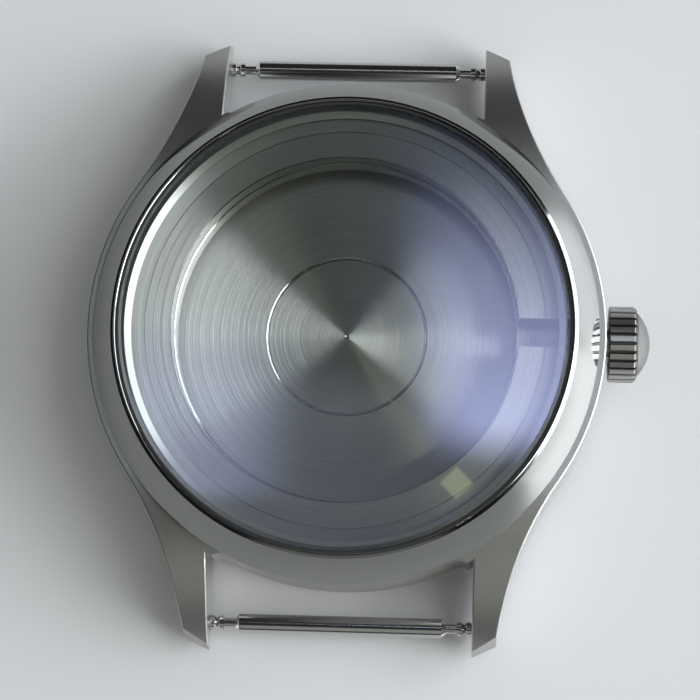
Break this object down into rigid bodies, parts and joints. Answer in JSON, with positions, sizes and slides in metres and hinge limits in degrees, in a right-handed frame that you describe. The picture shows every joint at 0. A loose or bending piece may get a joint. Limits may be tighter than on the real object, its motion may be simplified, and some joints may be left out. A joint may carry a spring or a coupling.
{
  "type": "watch case",
  "caption": "Empty round wristwatch case with crystal, polished bezel, movement holder, screwed back, screwed fluted crown and sprung strap bars between curved lugs.",
  "frame": {"origin": "centre of the flat outer face of the case back, which the case rests on", "axes": "+X to the crown at 3 o'clock, +Y to 12 o'clock, +Z out through the crystal"},
  "size_m": [0.0425, 0.0476, 0.0115],
  "materials": {
    "case_steel": "satin, with fine brushing on the lugs",
    "bezel_steel": "mirror polish",
    "crystal_glass": "clear, with a faint bluish coating",
    "gasket_black": "dull black",
    "rehaut_steel": "fine turned, low gloss",
    "holder_steel": "smooth turned, semi-gloss",
    "back_steel": "turned in fine rings",
    "crown_steel": "polished dome and satin flutes",
    "tube_steel": "turned and threaded",
    "inner_steel": "plain turned",
    "spring_steel": "drawn wire",
    "bar_steel": "dark glossy steel",
    "seal_rubber": "dull black"
  },
  "bodies": {
    "case": {"mid_case": "case_steel", "bezel": "bezel_steel", "crystal": "crystal_glass", "crystal_gasket": "gasket_black", "rehaut_ring": "rehaut_steel", "movement_holder": "holder_steel", "crown_tube": "tube_steel", "tube_seals": "seal_rubber"},
    "back_seal": {"case_back_gasket": "seal_rubber"},
    "back": {"case_back": "back_steel"},
    "crown_seal": {"crown_gasket": "seal_rubber"},
    "crown": {"crown_head": "crown_steel", "crown_retainer": "inner_steel", "crown_spring": "spring_steel"},
    "post": {"crown_post": "inner_steel"},
    "bar_12": {"bar_12_tube": "bar_steel", "bar_12_spring": "spring_steel"},
    "bar_12_left": {"bar_12_left_pin": "bar_steel"},
    "bar_12_right": {"bar_12_right_pin": "bar_steel"},
    "bar_6": {"bar_6_tube": "bar_steel", "bar_6_spring": "spring_steel"},
    "bar_6_left": {"bar_6_left_pin": "bar_steel"},
    "bar_6_right": {"bar_6_right_pin": "bar_steel"}
  },
  "joints": [
    {"name": "case_back_lift", "type": "slide", "parent": "case", "child": "back_seal", "axis": [0, 0, -1], "range_m": [0, 0.00601]},
    {"name": "case_back_turn", "type": "hinge", "parent": "back_seal", "child": "back", "pos_m": [0, 0, 0], "axis": [0, 0, -1], "range_deg": [0, 4320]},
    {"name": "crown_advance", "type": "slide", "parent": "case", "child": "crown_seal", "axis": [1, 0, 0], "range_m": [0, 0.00105]},
    {"name": "crown_turn", "type": "hinge", "parent": "crown_seal", "child": "crown", "pos_m": [0.0208, 0, 0.005], "axis": [1, 0, 0], "range_deg": [0, 1080]},
    {"name": "crown_post_push", "type": "slide", "parent": "crown", "child": "post", "axis": [1, 0, 0], "range_m": [0, 0.0006], "stiffness_N_per_m": 1000, "springref_m": -0.0004, "deforming": ["crown_spring"]},
    {"name": "bar_12_turn", "type": "hinge", "parent": "case", "child": "bar_12", "pos_m": [0, 0.0217, 0.00205], "axis": [1, 0, 0], "continuous": true},
    {"name": "bar_12_left_push", "type": "slide", "parent": "bar_12", "child": "bar_12_left", "axis": [1, 0, 0], "range_m": [0, 0.00075], "stiffness_N_per_m": 800, "springref_m": -0.0006, "deforming": ["bar_12_spring"]},
    {"name": "bar_12_right_push", "type": "slide", "parent": "bar_12", "child": "bar_12_right", "axis": [-1, 0, 0], "range_m": [0, 0.00075], "stiffness_N_per_m": 800, "springref_m": -0.0006, "deforming": ["bar_12_spring"]},
    {"name": "bar_6_turn", "type": "hinge", "parent": "case", "child": "bar_6", "pos_m": [0, -0.0217, 0.00205], "axis": [1, 0, 0], "continuous": true},
    {"name": "bar_6_left_push", "type": "slide", "parent": "bar_6", "child": "bar_6_left", "axis": [1, 0, 0], "range_m": [0, 0.00075], "stiffness_N_per_m": 800, "springref_m": -0.0006, "deforming": ["bar_6_spring"]},
    {"name": "bar_6_right_push", "type": "slide", "parent": "bar_6", "child": "bar_6_right", "axis": [-1, 0, 0], "range_m": [0, 0.00075], "stiffness_N_per_m": 800, "springref_m": -0.0006, "deforming": ["bar_6_spring"]}
  ],
  "couplings": [
    {"joint": "case_back_lift", "follows": "case_back_turn", "m_per_rad": 0.000079577},
    {"joint": "crown_turn", "follows": "crown_advance", "rad_per_m": 17952}
  ]
}
